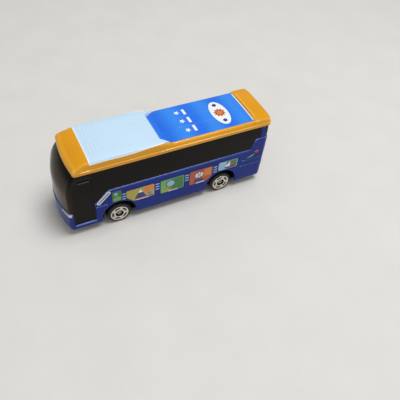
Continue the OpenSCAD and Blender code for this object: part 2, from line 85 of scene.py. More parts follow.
# How far the surface draws in: the nose's foot, the windscreen, then the tail and the sides at some heights
FOOT_Z, FOOT_H, FOOT_IN = 4.0, 1.2, 0.6
SCREEN_Z, SCREEN_H, SCREEN_IN, SCREEN_CURVE = 16.0, 11.9, 3.4, 3.2
LEVELS = [FLOOR_Z, FOOT_Z, BELT_Z, 24.06, EAVE_Z]
TAIL_IN = [0.9, 0.81, 0.3, 0.12, 0.15]
SIDE_IN = [0.15, 0.0, 0.0, 0.1, 0.2]
NOSE_BLEND, TAIL_BLEND = (24.0, 36.5), (-31.0, -37.6)


def run_of(x):
    """Distance along the plan at which the side passes x."""
    return SIDE_RUN + SIDE_X - x


def run_at_tail(y):
    """Distance along the plan at which the tail passes y."""
    return END - y


def nose_in(z):
    """How far the nose draws in at a height."""
    if z < FOOT_Z:
        return FOOT_IN * ((FOOT_Z - z) / FOOT_H) ** 2
    return SCREEN_IN * (max(0.0, min(z, EAVE_Z) - SCREEN_Z) / SCREEN_H) ** SCREEN_CURVE


def drawn_in(z, depths):
    """How far the tail or a side draws in at a height."""
    return float(np.interp(z, LEVELS, depths))


def ease(low, high, v):
    """Smooth step from 0 at low to 1 at high."""
    t = min(1.0, max(0.0, (v - low) / (high - low)))
    return t * t * (3 - 2 * t)


def eased(size, low, high, v):
    """A size that comes in smoothly from low to high."""
    return size * ease(low, high, v)


def skin(s, z, inset=0.0):
    """Point of the outer surface at a distance along the plan and a height, drawn in by an inset."""
    x, y, tx, ty = (float(np.interp(abs(s), RUN, line)) for line in (*PLAN.T, *TURN.T))
    x -= inset * ty
    y += inset * tx
    x -= nose_in(z) * ease(*NOSE_BLEND, x)
    x += drawn_in(z, TAIL_IN) * ease(*TAIL_BLEND, x)
    y *= (HALF_W - drawn_in(z, SIDE_IN)) / HALF_W
    return Vector((x, math.copysign(y, s), z))


def body_place(inset=0.0):
    """Lays points of the unrolled surface on the bus."""
    return lambda s, z: skin(s, z, inset)


def tail_place(inset):
    """Lays points given by y and z on the tail."""
    return lambda y, z: skin(math.copysign(run_at_tail(abs(y)), y), z, inset)


def side_place(side, proud):
    """Lays points given by x and z flat on one side."""
    return lambda x, z: Vector((x, side * (HALF_W + proud), z))


# Outlines

ROUND_SHARE = 0.45  # the most of an edge that the round of a corner takes up


def dense(points, step):
    """A closed outline with extra points, so that no edge is longer than a step."""
    out = []
    for (ax, ay), (bx, by) in zip(points, points[1:] + points[:1]):
        n = max(1, math.ceil(math.hypot(bx - ax, by - ay) / step))
        out += [(ax + (bx - ax) * i / n, ay + (by - ay) * i / n) for i in range(n)]
    return out


def on_side(points, side, step):
    """A dense outline on the unrolled surface of the left or the right side."""
    return dense([(side * s, z) for s, z in points], step)


def rounded(points, radius, steps=5):
    """A closed outline whose corners are rounded by a radius."""
    out = []
    for i, p in enumerate(points):
        a, b = Vector(points[i - 1]), Vector(points[(i + 1) % len(points)])
        p = Vector(p)
        r = min(radius, (a - p).length * ROUND_SHARE, (b - p).length * ROUND_SHARE)
        u, v = p + (a - p).normalized() * r, p + (b - p).normalized() * r
        for k in range(steps + 1):
            t = k / steps
            q = u * (1 - t) ** 2 + p * 2 * t * (1 - t) + v * t * t
            out.append((q.x, q.y))
    return out


def turns(n):
    """Angles of even steps all the way round."""
    return [2 * math.pi * i / n for i in range(n)]


def circle(cx, cy, r, n, squash=1.0):
    """Points of a circle or an upright ellipse."""
    return [(cx + r * math.cos(a), cy + r * squash * math.sin(a)) for a in turns(n)]


def oblong(x0, y0, x1, y1):
    """Corners of an upright rectangle."""
    return [(x0, y0), (x1, y0), (x1, y1), (x0, y1)]


def star(cx, cy, r, inner, points):
    """Points of a star."""
    spokes = [(math.pi * i / points, (r, inner)[i % 2]) for i in range(2 * points)]
    return [(cx + d * math.sin(a), cy + d * math.cos(a)) for a, d in spokes]


# Meshing of flat regions that are laid on a surface

CLEAR_SHARE = 0.55  # least distance of a grid point from an outline, in grid steps
SLIVER = 1e-5  # tolerance of the triangulation, and triangles with less area are left out
WELD = 0.004  # points nearer than this are one
ROLL_TURNS = [math.radians(a) for a in (22.5, 45, 67.5, 90)]
MITRE_LEAST = 0.6  # keeps the rim short at sharp corners


def inside(loops, pts):
    """Which points lie inside the first loop and outside the others."""
    pts = np.asarray(pts, dtype=float)
    odd = np.zeros(len(pts), dtype=bool)
    for loop in loops:
        for (x0, y0), (x1, y1) in zip(loop, loop[1:] + loop[:1]):
            if y0 == y1:
                continue
            cross = (pts[:, 1] >= min(y0, y1)) & (pts[:, 1] < max(y0, y1))
            odd ^= cross & (pts[:, 0] < x0 + (pts[:, 1] - y0) * (x1 - x0) / (y1 - y0))
    return odd


def grid_inside(loops, step):
    """Grid points inside the loops and not too near to their edges."""
    edge = np.concatenate(loops)
    low, high = edge.min(axis=0), edge.max(axis=0)
    xs, ys = np.arange(low[0] + step / 2, high[0], step), np.arange(low[1] + step / 2, high[1], step)
    pts = [(x + (step / 2 if j % 2 else 0), y) for j, y in enumerate(ys) for x in xs]
    if not pts:
        return []
    pts = np.array(pts)[inside(loops, pts)]
    cells = {}
    for p in edge:
        cells.setdefault(tuple(p // step), []).append(p)
    keep = []
    for p in pts:
        i, j = p // step
        near = [q for di in (-1, 0, 1) for dj in (-1, 0, 1) for q in cells.get((i + di, j + dj), [])]
        if all((p[0] - q[0]) ** 2 + (p[1] - q[1]) ** 2 > (CLEAR_SHARE * step) ** 2 for q in near):
            keep.append(tuple(p))
    return keep


def region(loops, step, extra):
    """Points and triangles of a flat region with holes, with some extra points inside it."""
    pts, edges = [], []
    for loop in loops:
        n0 = len(pts)
        pts += loop
        edges += [(n0 + i, n0 + (i + 1) % len(loop)) for i in range(len(loop))]
    pts += grid_inside(loops, step)
    if extra:
        pts += [p for p, k in zip(extra, inside(loops, extra)) if k]
    verts, _, faces, *_ = delaunay_2d_cdt([Vector(p) for p in pts], edges, [], 0, SLIVER)
    mids = [sum((verts[i] for i in f), Vector((0, 0))) / len(f) for f in faces]
    keep = inside(loops, [(m.x, m.y) for m in mids])

    def area(f):
        a, b, c = (verts[i] for i in f[:3])
        return abs((b - a).cross(c - a)) / 2
    return verts, [f for f, k in zip(faces, keep) if k and area(f) > SLIVER]


def outward(bm):
    """For each edge vertex of a skin, the direction along the skin and away from it."""
    way = {}
    for e in bm.edges:
        if len(e.link_faces) != 1:
            continue
        f = e.link_faces[0]
        t = (e.verts[1].co - e.verts[0].co).normalized()
        away = (e.verts[0].co + e.verts[1].co) / 2 - f.calc_center_median()
        away -= t * away.dot(t)
        away -= f.normal * away.dot(f.normal)
        for v in e.verts:
            way.setdefault(v, []).append(away.normalized())
    out = {}
    for v, ways in way.items():
        b = sum(ways, Vector()).normalized()
        out[v] = b / max(MITRE_LEAST, b.dot(ways[0]))
    return out


def laid_skin(loops, place, step, outside, extra):
    """Open skin over a flat region laid on a surface, with its faces turned to the outside."""
    verts, faces = region(loops, step, extra)
    bm = bmesh.new()
    vs = [bm.verts.new(place(v.x, v.y)) for v in verts]
    for f in faces:
        bm.faces.new([vs[i] for i in f])
    bmesh.ops.delete(bm, geom=[v for v in bm.verts if not v.link_faces], context="VERTS")
    bmesh.ops.remove_doubles(bm, verts=bm.verts, dist=WELD)
    bm.normal_update()
    if sum(f.normal.dot(outside(f.calc_center_median())) * f.calc_area() for f in bm.faces) < 0:
        bmesh.ops.reverse_faces(bm, faces=bm.faces)
        bm.normal_update()
    return bm


def shell(loops, place, step, rim, depth, outside, extra=()):
    """Closed skin over a flat region laid on a surface, with a rim profile all round its edges."""
    bm = laid_skin(loops, place, step, outside, extra)
    top = list(bm.faces)
    way = outward(bm)
    rows = {v: [bm.verts.new(p) for p in rim(v.co.copy(), v.normal.copy(), b)] for v, b in way.items()}
    under = {v: rows[v][-1] if v in rows else bm.verts.new(v.co - v.normal * depth)
             for v in dict.fromkeys(v for f in top for v in f.verts)}
    for f in top:
        for loop in f.loops:
            if len(loop.edge.link_faces) == 1:
                a, b = ([v] + rows[v] for v in (loop.vert, loop.link_loop_next.vert))
                for k in range(len(a) - 1):
                    bm.faces.new([b[k], a[k], a[k + 1], b[k + 1]])
    for f in top:
        bm.faces.new([under[v] for v in reversed(f.verts)])
    return bm


def side_out(p):
    """Direction away from the bus's upright axis."""
    return Vector((p.x / 4, p.y, 0))


def up_out(_):
    """Direction away from the roof."""
    return Vector((0, 0, 1))


def sideways(side):
    """Direction straight out of one side, for every point."""
    return lambda _: Vector((0, side, 0))


def panel(loops, place, step, roll, depth, outside=side_out, extra=()):
    """A shell whose edges roll through a quarter turn and then run down to its depth."""
    def rim(p, n, b):
        rolled = [p + b * roll * math.sin(a) - n * roll * (1 - math.cos(a)) for a in ROLL_TURNS]
        return rolled + [p + b * roll - n * depth]
    return shell(loops, place, step, rim, depth, outside, extra)


def show(name, data):
    """A new object in the scene."""
    obj = bpy.data.objects.new(name, data)
    bpy.context.scene.collection.objects.link(obj)
    return obj


def piece(name, parts, body, replaced, angle=40):
    """An object made of one or more meshes, each with its material, riding on a body."""
    mesh = bpy.data.meshes.new(name)
    whole = bmesh.new()
    mats = []
    for bm, mat in parts:
        if mat not in mats:
            mats.append(mat)
        for f in bm.faces:
            f.material_index = mats.index(mat)
            f.smooth = True
        bm.to_mesh(mesh)
        bm.free()
        whole.from_mesh(mesh)
    bmesh.ops.scale(whole, vec=(MM, MM, MM), verts=whole.verts)
    whole.to_mesh(mesh)
    whole.free()
    for mat in mats:
        mesh.materials.append(mat)
    mesh.set_sharp_from_angle(angle=math.radians(angle))
    obj = show(name, mesh)
    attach(obj, body)
    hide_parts(*replaced)


# Materials

NOSE_REFLECTION_SPAN = {"From Min": 0.0358, "From Max": 0.0376}  # in metres, where the painted brown reflection on the windscreen comes in
ROUGH_VARY, LEAST_ROUGH = 0.06, 0.02


def feed(tree, node, inputs):
    """Links some inputs of a shader node to other nodes, and sets the others to fixed values."""
    for name, value in inputs.items():
        if isinstance(value, bpy.types.NodeSocket):
            tree.links.new(value, node.inputs[name])
        else:
            node.inputs[name].default_value = value
    return node


def shader_node(tree, kind, inputs=None):
    """A new shader node, with its inputs fed."""
    return feed(tree, tree.nodes.new("ShaderNode" + kind), inputs or {})


def noise(tree, where, scale, detail):
    """Noise over an object."""
    inputs = {"Vector": where, "Scale": scale, "Detail": detail}
    return shader_node(tree, "TexNoise", inputs).outputs["Fac"]


def ramp(tree, fac, low, high, start=(0, 0, 0), end=(1, 1, 1)):
    """A colour that runs from start to end while a factor runs from low to high."""
    node = shader_node(tree, "ValToRGB", {"Fac": fac})
    first, last = node.color_ramp.elements
    first.position, last.position = low, high
    first.color, last.color = (*start, 1), (*end, 1)
    return node.outputs["Color"]


def mix(tree, fac, a, b):
    """A colour that runs from a linked one to a fixed one."""
    node = shader_node(tree, "Mix")
    node.data_type = "RGBA"
    return feed(tree, node, {"Factor": fac, "A": a, "B": (*b, 1)}).outputs["Result"]


def times(tree, a, b):
    """The product of two factors, linked or fixed."""
    node = shader_node(tree, "Math", {0: a, 1: b})
    node.operation = "MULTIPLY"
    return node.outputs["Value"]


def banded(tree, where, tint, bands):
    """A tint with soft bands of another colour."""
    inputs = {"Vector": where, "Scale": bands["scale"], "Distortion": 1.2, "Detail": 1}
    wave = shader_node(tree, "TexWave", inputs)
    wave.bands_direction = bands["axis"]
    return mix(tree, times(tree, wave.outputs["Fac"], bands["share"]), tint, bands["colour"])


def painted_nose_reflection(tree, where, tint, colour):
    """A tint that turns to another colour at the front of the bus: a painted reflection on the windscreen.
    """
    x = shader_node(tree, "SeparateXYZ", {"Vector": where}).outputs["X"]
    share = shader_node(tree, "MapRange", {"Value": x, **NOSE_REFLECTION_SPAN}).outputs["Result"]
    return mix(tree, share, tint, colour)


def painted_edge_highlight(tree, normal, edge, tint, colour, share):
    """A tint with a painted highlight along edges that face up."""
    z = shader_node(tree, "SeparateXYZ", {"Vector": normal}).outputs["Z"]
    lit = ramp(tree, edge, low=0.51, high=0.57, end=[share] * 3)
    return mix(tree, times(tree, lit, ramp(tree, z, low=0.0, high=0.4)), tint, colour)


def scuffed(tree, where, edge, tint, colour):
    """A tint with scuffed spots along sharp edges."""
    spots = ramp(tree, noise(tree, where, scale=900, detail=5), low=0.5, high=0.62)
    return mix(tree, times(tree, ramp(tree, edge, low=0.56, high=0.66), spots), tint, colour)


def material(name, colour, rough, **kw):
    """A painted, moulded or metal surface with mottling, fine grain and scuffed edges, and where asked a
    painted highlight along upward edges and a painted reflection at the nose.
    """
    mat = bpy.data.materials.new(name)
    mat.use_nodes = True
    tree = mat.node_tree
    coords = shader_node(tree, "TexCoord").outputs
    where, edge = coords["Object"], shader_node(tree, "NewGeometry").outputs["Pointiness"]
    vary = kw.get("vary", 0.12)
    mottle = noise(tree, where, kw.get("mottle", 60), detail=4)
    tint = ramp(tree, mottle, low=0.3, high=0.7, start=[c * (1 - vary) for c in colour],
                end=[min(1, c * (1 + vary)) for c in colour])
    if "bands" in kw:
        tint = banded(tree, where, tint, kw["bands"])
    # painted reflection: the nose colour shows on the windscreen
    if "nose" in kw:
        tint = painted_nose_reflection(tree, where, tint, kw["nose"])
    # painted highlight: the edge colour lightens rolled edges and beads that face up
    if "edge" in kw:
        tint = painted_edge_highlight(tree, coords["Normal"], edge, tint, kw["edge"], kw["edge_share"])
    if "worn" in kw:
        tint = scuffed(tree, where, edge, tint, kw["worn"])
    spread = shader_node(tree, "MapRange", {
        "Value": noise(tree, where, scale=260, detail=3), "To Min": max(LEAST_ROUGH, rough - ROUGH_VARY),
        "To Max": rough + ROUGH_VARY})
    bump = shader_node(tree, "Bump", {
        "Height": noise(tree, where, kw.get("grain", 1800), detail=3), "Strength": kw.get("bump", 0.08),
        "Distance": 0.00003})
    feed(tree, tree.nodes["Principled BSDF"], {
        "Base Color": tint, "Roughness": spread.outputs["Result"], "Normal": bump.outputs["Normal"],
        "Metallic": kw.get("metal", 0.0), "Coat Weight": kw.get("coat", 0.0), "Coat Roughness": 0.06,
        "Specular IOR Level": kw.get("spec", 0.5)})
    return mat


def srgb(r, g, b):
    """A colour that is written as it shows, from 0 to 255."""
    return tuple((c / 255 / 12.92) if c < 10.4 else ((c / 255 + 0.055) / 1.055) ** 2.4 for c in (r, g, b))


# The edge colours of both enamels are painted highlights along edges that face up; the worn colours are
# scuffs.
BLUE = material("blue_enamel", srgb(24, 46, 130), 0.22, metal=0.2, coat=0.12, spec=0.12, vary=0.1,
                edge=srgb(150, 172, 238), edge_share=0.95, worn=srgb(84, 104, 176), grain=2600)
YELLOW = material("yellow_enamel", srgb(226, 156, 4), 0.2, coat=0.3, spec=0.25, vary=0.05,
                  edge=srgb(255, 222, 140), edge_share=0.85, worn=srgb(190, 150, 90))
# The nose colour of the smoked glass is a painted brown reflection on the windscreen.
SMOKE = material("smoked_plastic", srgb(14, 9, 8), 0.14, spec=0.14, vary=0.25, bump=0.03,
                 nose=srgb(52, 38, 28))
# Lighter grey of the moulded line over the door: a painted highlight on its upper edge.
SMOKE_HIGHLIGHT = material("smoked_edge", srgb(74, 68, 70), 0.2, spec=0.3, vary=0.15)
SEAT = material("seat_plastic", srgb(84, 86, 90), 0.5)
BLACK = material("black_plastic", srgb(26, 26, 28), 0.5, vary=0.2, bump=0.2, grain=1400,
                 worn=srgb(70, 70, 72))
TYRE = material("tyre_plastic", srgb(24, 23, 24), 0.55, vary=0.25, bump=0.25, grain=1200,
                worn=srgb(62, 60, 60))
STEEL = material("pin_steel", srgb(150, 150, 152), 0.35, metal=1.0, grain=900)
FOIL = material("silver_foil", srgb(214, 207, 196), 0.24, metal=0.9, vary=0.1, bump=0.15, grain=700)
# Silver print whose near-white, barely metallic colour is partly a painted highlight.
TRIM_SILVER_AND_HIGHLIGHT = material("trim_silver_and_painted_highlight", srgb(228, 230, 236), 0.34, metal=0.15, vary=0.04)
TRIM_GREY = material("trim_grey", srgb(128, 134, 142), 0.4, metal=0.3, vary=0.15, mottle=900)
LAMP = material("lamp_silver", srgb(190, 194, 202), 0.22, metal=0.5, coat=0.4)
RED = material("lamp_red", srgb(160, 22, 24), 0.25, coat=0.5)
PALE = material("pale_label", srgb(200, 228, 250), 0.3, coat=0.3, vary=0.04, mottle=25)
SKY = material("sky_label", srgb(30, 112, 232), 0.26, coat=0.15, spec=0.3, vary=0.06,
               bands={"colour": srgb(62, 156, 250), "axis": "X", "scale": 26, "share": 0.55})
WHITE = material("print_white", srgb(240, 244, 248), 0.32, vary=0.03)
# Colour and mottling of each printing ink
INKS = {"green": ((60, 120, 66), 0.12), "leaf": ((120, 170, 84), 0.12), "olive": ((184, 168, 70), 0.1),
        "orange": ((222, 130, 52), 0.1), "ice": ((150, 190, 222), 0.08), "rust": ((182, 86, 44), 0.12),
        "red": ((190, 50, 44), 0.1), "navy": ((40, 60, 120), 0.1), "sky": ((64, 140, 214), 0.08)}
INK = {name: material("print_" + name, srgb(*rgb), 0.35, vary=vary) for name, (rgb, vary) in INKS.items()}
INK["white"] = WHITE


# Body casting

ROLL = 0.34
CUT, LEDGE_CUT, SLANT_CUT, LEDGE_LEAN = 0.5, 0.4, 0.6, 0.1  # how the outline's corners are cut off
PILLAR_X, PILLAR_FOOT, PILLAR_HEAD, PILLAR_ROLL = -36.2, 2.2, 1.5, 0.15
PILLAR_LOW, PILLAR_HIGH = LEDGE_Z - 0.6, EAVE_Z + 0.3
# Front, rear, lower and upper edge of each crease, how far it stands out, and the roll of its edge
CREASES = [((28.3, 24.2, 10.8, 11.3), 0.16, 0.18), ((-28.6, -37.6, 10.0, 10.5), 0.16, 0.18),
           ((-29.4, -37.6, 12.7, 13.1), 0.14, 0.16)]
LOUVRE_ZS, LOUVRE_H, LOUVRE_Y, LOUVRE_PROUD = (5.6, 7.0, 8.4, 9.8), 0.6, 4.6, 0.14


def upper_edge(door):
    """Upper edge of one half of the body, from nose to tail, drawn in by the rolled edge."""
    r, foot, top = ROLL, run_of(SLANT_FOOT[0]), run_of(SLANT_TOP[0])
    front, rear = run_of(DOOR_FRONT_X), run_of(DOOR_REAR_X)
    quarter, ledge, tail = run_of(QUARTER_X), run_of(LEDGE_X), run_at_tail(REAR_GLASS_Y)
    pts = [(0, BUMPER_Z - r)]
    if door:
        pts += [(front - r - CUT, BUMPER_Z - r), (front - r, BUMPER_Z - r - CUT),
                (front - r, SILL_Z - r + CUT), (front - r + CUT, SILL_Z - r), (rear + r - CUT, SILL_Z - r),
                (rear + r, SILL_Z - r + CUT), (rear + r, SLANT_FOOT[1] - CUT - r)]
    else:
        pts += [(front, BUMPER_Z - r)]
    pts += [(foot + 0.5 * r, SLANT_FOOT[1] - r), (top - SLANT_CUT, BELT_Z - r - SLANT_CUT),
            (top + CUT, BELT_Z - r), (quarter - LEDGE_CUT, BELT_Z - r),
            (quarter + LEDGE_CUT, BELT_Z - r + CUT), (ledge - LEDGE_LEAN, LEDGE_Z - r - LEDGE_CUT),
            (ledge + CUT, LEDGE_Z - r)]
    return pts + [(tail - r - LEDGE_CUT, LEDGE_Z - r), (tail - r, LEDGE_Z - r - LEDGE_CUT),
                  (tail - r, REAR_GLASS_Z - r + CUT), (tail - r + CUT, REAR_GLASS_Z - r),
                  (END, REAR_GLASS_Z - r)]


def lower_edge():
    """Lower edge of one half of the body, from tail to nose, with its wheel arches."""
    z, big = FLOOR_Z + ROLL, ARCH_R + ROLL
    foot = math.asin((z - AXLE_Z) / big)
    pts = [(END, z)]
    for x in reversed(AXLE_XS):
        for a in np.linspace(math.pi - foot, foot, num=44):
            pts.append((run_of(x) - big * math.cos(a), AXLE_Z + big * math.sin(a)))
    return pts


def body_outline():
    """Outline of the body casting on the unrolled surface. The door is on the left."""
    left = upper_edge(True) + lower_edge()
    right = [(-s, z) for s, z in upper_edge(False) + lower_edge()]
    return left + [(0, FLOOR_Z + ROLL)] + right[:0:-1]


def patch(span, side, proud, roll, depth):
    """A raised strip on one side of the body."""
    front, rear, low, high = span
    loop = oblong(run_of(front) + roll, low + roll, run_of(rear) - roll, high - roll)
    loop = on_side(rounded(loop, radius=0.2), side, step=0.3)
    return panel([loop], body_place(-proud), step=0.5, roll=roll, depth=depth)


def pillar(side):
    """A rear pillar between the ledge and the eave."""
    front, r = run_of(PILLAR_X), PILLAR_ROLL
    head, foot = run_of(PILLAR_X - PILLAR_HEAD), run_of(PILLAR_X - PILLAR_FOOT)
    loop = [(front + r, PILLAR_LOW), (front + r, PILLAR_HIGH), (head - r, PILLAR_HIGH),
            (foot - r, PILLAR_LOW)]
    return panel([on_side(loop, side, step=0.4)], body_place(inset=0.25), step=0.6, roll=r, depth=0.6)


def louvre(z):
    """A raised strip across the tail."""
    loop = rounded(oblong(-LOUVRE_Y, z, LOUVRE_Y, z + LOUVRE_H), radius=0.15)
    return panel([dense(loop, step=0.3)], tail_place(-LOUVRE_PROUD), step=0.5, roll=LOUVRE_PROUD, depth=0.35)


def make_body():
    """Blue body with its rear pillars, creases and louvres."""
    parts = [panel([dense(body_outline(), step=0.45)], body_place(), step=0.8, roll=ROLL, depth=1.0)]
    for side in SIDES.values():
        parts.append(pillar(side))
        parts += [patch(span, side, proud, roll, depth=0.4) for span, proud, roll in CREASES]
    parts += [louvre(z) for z in LOUVRE_ZS]
    piece("body_shell", [(bm, BLUE) for bm in parts], "bus", ["body_casting"])


# Glazing

GLASS_INSET, GLASS_LAP, GLASS_TOP = 0.3, 0.12, EAVE_Z + 0.1
DOOR_SINK, DOOR_BLEND, DOOR_HEAD = 0.25, 0.5, (25.2, 25.9)
DOOR_LINE, DOOR_LINE_PROUD = (34.4, 30.0, 24.1, 24.5), 0.12
# How far the bow of the roof's nose and of the windscreen's top is flattened, and where
NOSE_FLAT, SCREEN_FLAT, SCREEN_FLAT_Z = 1.15, 0.6, 20.0
FLAT_HALF_Y, FLAT_XS = 10, (26.0, 34.0)


def glass_edge(door):
    """Lower edge of one half of the glazing, from nose to tail, just under the body's edge."""
    front, rear, tail = run_of(DOOR_FRONT_X), run_of(DOOR_REAR_X), run_at_tail(REAR_GLASS_Y)
    o = GLASS_LAP
    pts = [(0, BUMPER_Z - o)]
    if door:
        pts += [(front - o, BUMPER_Z - o), (front - o, SILL_Z - o), (rear + o, SILL_Z - o),
                (rear + o, SLANT_FOOT[1] - o)]
    else:
        pts += [(front, BUMPER_Z - o), (run_of(SLANT_FOOT[0]), SLANT_FOOT[1] - o)]
    return pts + [(run_of(SLANT_TOP[0]) + o, BELT_Z - o), (run_of(QUARTER_X), BELT_Z - o),
                  (run_of(LEDGE_X), LEDGE_Z - o), (tail - o, LEDGE_Z - o), (tail - o, REAR_GLASS_Z - o),
                  (END, REAR_GLASS_Z - o)]


def glass_outline():
    """Outline of the smoked glazing on the unrolled surface."""
    right = [(-s, z) for s, z in glass_edge(False)]
    return glass_edge(True) + [(END, GLASS_TOP), (-END, GLASS_TOP)] + right[:0:-1]


def flat_share(p):
    """How much of the flattening of the nose's bow a point near the eave takes."""
    return max(0.0, 1 - (p.y / FLAT_HALF_Y) ** 2) * ease(*FLAT_XS, p.x)


def glass_place(s, z):
    """The glass lies a little deeper in the doorway, and the windscreen is flatter near the eave."""
    front, rear = run_of(DOOR_FRONT_X), run_of(DOOR_REAR_X)
    door = ease(front, front + DOOR_BLEND, s) * (1 - ease(rear - DOOR_BLEND, rear, s))
    door *= 1 - ease(*DOOR_HEAD, z)
    p = skin(s, z, GLASS_INSET + DOOR_SINK * door)
    p.x -= SCREEN_FLAT * ease(SCREEN_FLAT_Z, EAVE_Z, z) * flat_share(p)
    return p


def make_glass():
    """All the smoked glass, with a moulded line over the door, drawn in a lighter grey as a painted
    highlight.
    """
    glass = panel([dense(glass_outline(), step=0.45)], glass_place, step=0.8, roll=0.05, depth=0.9)
    line = patch(DOOR_LINE, SIDES["left"], DOOR_LINE_PROUD - GLASS_INSET, roll=0.1, depth=0.3)
    piece("smoked_glazing", [(glass, SMOKE), (line, SMOKE_HIGHLIGHT)], "bus",
          ["window_insert", "rear_window"])


# Roof casting: its plan

LABEL_EDGE_X, LABEL_NECK_Y, LABEL_HALF_Y, LABEL_CHAMFER = 2.9, 6.9, 8.75, 2.9
LABEL_REAR_X, PALE_FRONT_X = -32.6, 28.8
NOSE_R, NOSE_CORNER = 1.7, (33.3, 8.5)
EAVE_LIP, TAIL_SPARE, EAVE_SHARE = 0.26, 0.03, 1 - drawn_in(EAVE_Z, SIDE_IN) / HALF_W
# Width of the shoulder, and how much narrower it is beside the dome, at the tail and at the nose, and where
SHOULDER_W, DOME_NARROW, DOME_FROM, DOME_TO = 1.25, 0.74, (0.5, 5.0), (27.0, 32.5)
TAIL_NARROW, NOSE_NARROW, NOSE_BACK = (0.6, -32.6, -33.4), (0.4, 30.0, 33.0), (0.9, 30.0, 35.5)


def round_nose(p, r):
    """Flattens the bow of the roof's nose and rounds its corners."""
    x = p.x - NOSE_FLAT * flat_share(p)
    dx, dy = x - NOSE_CORNER[0], abs(p.y) - NOSE_CORNER[1]
    far = math.hypot(dx, dy)
    if dx <= 0 or dy <= 0 or far <= r:
        return Vector((x, p.y))
    k = r / far
    return Vector((NOSE_CORNER[0] + dx * k, math.copysign(NOSE_CORNER[1] + dy * k, p.y)))


def roof_outer(s):
    """Point of the roof's outer edge at the eave for a distance along the plan."""
    p = round_nose(skin(s, EAVE_Z, -EAVE_LIP), NOSE_R + EAVE_LIP)
    return Vector((max(p.x, TAIL_SPARE - HALF_L), p.y))


def deck_inset(x):
    """Width of the shoulder beside the deck, which is narrow along the dome."""
    along = ease(*DOME_FROM, x) * (1 - ease(*DOME_TO, x))
    return SHOULDER_W - DOME_NARROW * along - eased(*TAIL_NARROW, x) - eased(*NOSE_NARROW, x)


def roof_inner(s):
    """Point of the deck's edge for a distance along the plan."""
    inset = deck_inset(skin(s, EAVE_Z).x)
    p = round_nose(skin(s, EAVE_Z, inset), NOSE_R - inset)
    return Vector((p.x - eased(*NOSE_BACK, p.x), p.y))


def deck_half(x):
    """Half the width of the deck at x, between the shoulders."""
    return (HALF_W - deck_inset(x)) * EAVE_SHARE


def label_edge_x(y):
    """Front edge of the blue label, whose corners are cut off."""
    over = max(0.0, abs(y) - LABEL_NECK_Y) / (LABEL_HALF_Y - LABEL_NECK_Y)
    return LABEL_EDGE_X - LABEL_CHAMFER * min(1.0, over)


# Roof casting: its heights

DOME_REAR, DOME_L, DOME_RISE = -0.4, 34.4, 1.8
DOME_ENDS, DOME_FLAT, DOME_STEP = 3, 0.6, 0.8
CROWN, CROWN_Y, BLOCK_X = 0.2, 9.0, -32.7
# Sizes that come in between two xs, and shares that are lost between two ys (the crown's: two xs)
BROW, TAIL_DROP, BLOCK = (0.75, 29.5, 35.5), (0.15, -37.0, -39.2), (0.7, BLOCK_X, BLOCK_X - 0.5)
DOME_LESS, BLOCK_LESS, CROWN_LESS = (0.16, 7.4, 9.8), (0.5, 6.0, 9.2), (0.3, 2.0, 4.0)
# Moulded bars that show through the labels: middle, half size and soft edge along x and y, and height
RIBS = [((22.4 + 1.15 * i, 0.2, 0.25), (0, 6.6, 0.5), 0.14) for i in range(6)]
RAILS = [((-12.0, 7.0, 0.4), (y, 0.18, 0.25), 0.16) for y in (-2.5, 2.5)]
PLATES = [((11.4, 2.2, 0.25), (0, 3.0, 0.25), 0.08), ((-1.8, 2.2, 0.25), (0, 2.6, 0.25), 0.26)]


def dome(x, y):
    """Rise of the dome over the deck."""
    share = (x - DOME_REAR) / DOME_L
    if not 0 < share < 1:
        return 0.0
    rise = DOME_RISE * (1 - abs(2 * share - 1) ** DOME_ENDS) ** DOME_FLAT
    return rise * ease(0.0, DOME_STEP, x - label_edge_x(y))


def roof_top(x, y):
    """Height of the roof's upper surface."""
    crown = CROWN * (y / CROWN_Y) ** 2 * (1 - eased(*CROWN_LESS, x))
    brow = eased(*BROW, x) + eased(*TAIL_DROP, x)
    block = eased(*BLOCK, x) * (1 - eased(*BLOCK_LESS, abs(y)))
    return DECK_Z - crown - brow + block + dome(x, y) * (1 - eased(*DOME_LESS, abs(y)))


def ridge(v, middle, half, soft):
    """Profile of a raised bar."""
    return 1 - ease(half, half + soft, abs(v - middle))


def relief(x, y):
    """Low moulded detail that shows through the labels."""
    return sum(h * (ridge(x, *along) * ridge(y, *across)) for along, across, h in RIBS + RAILS + PLATES)


def flanks(middle, half, soft):
    """Where both flanks of a raised bar have their feet and tops."""
    return [middle + d for d in (-half - soft, -half, half, half + soft)]


def relief_points():
    """Mesh points along the flanks of the moulded bars."""
    pts = [(x, y) for along, *_ in RIBS for x in flanks(*along)
           for y in np.linspace(-7.1, 7.1, num=48)]
    pts += [(x, y) for _, across, _ in RAILS for y in flanks(*across)
            for x in np.linspace(-19.5, -4.5, num=61)]
    pts += [(c + side * d, y) for (c, half, soft), *_ in PLATES for side in (-1, 1)
            for d in (half, half + soft) for y in np.linspace(-3.2, 3.2, num=26)]
    return pts + [(c + d, side * w) for (c, *_), (_, half, soft), _ in PLATES for side in (-1, 1)
                  for w in (half, half + soft) for d in np.linspace(-2.4, 2.4, num=22)]


RELIEF_POINTS = relief_points()
STEP_POINTS = [(label_edge_x(y) + d, y) for y in np.linspace(-8.7, 8.7, 70)
               for d in (0.02, 0.17, 0.32, 0.47, 0.62, 0.8, 1.0)]
BLOCK_POINTS = [(BLOCK_X - d, y) for y in np.linspace(-9.2, 9.2, 60)
                for d in (0.0, 0.12, 0.25, 0.38, 0.5)]

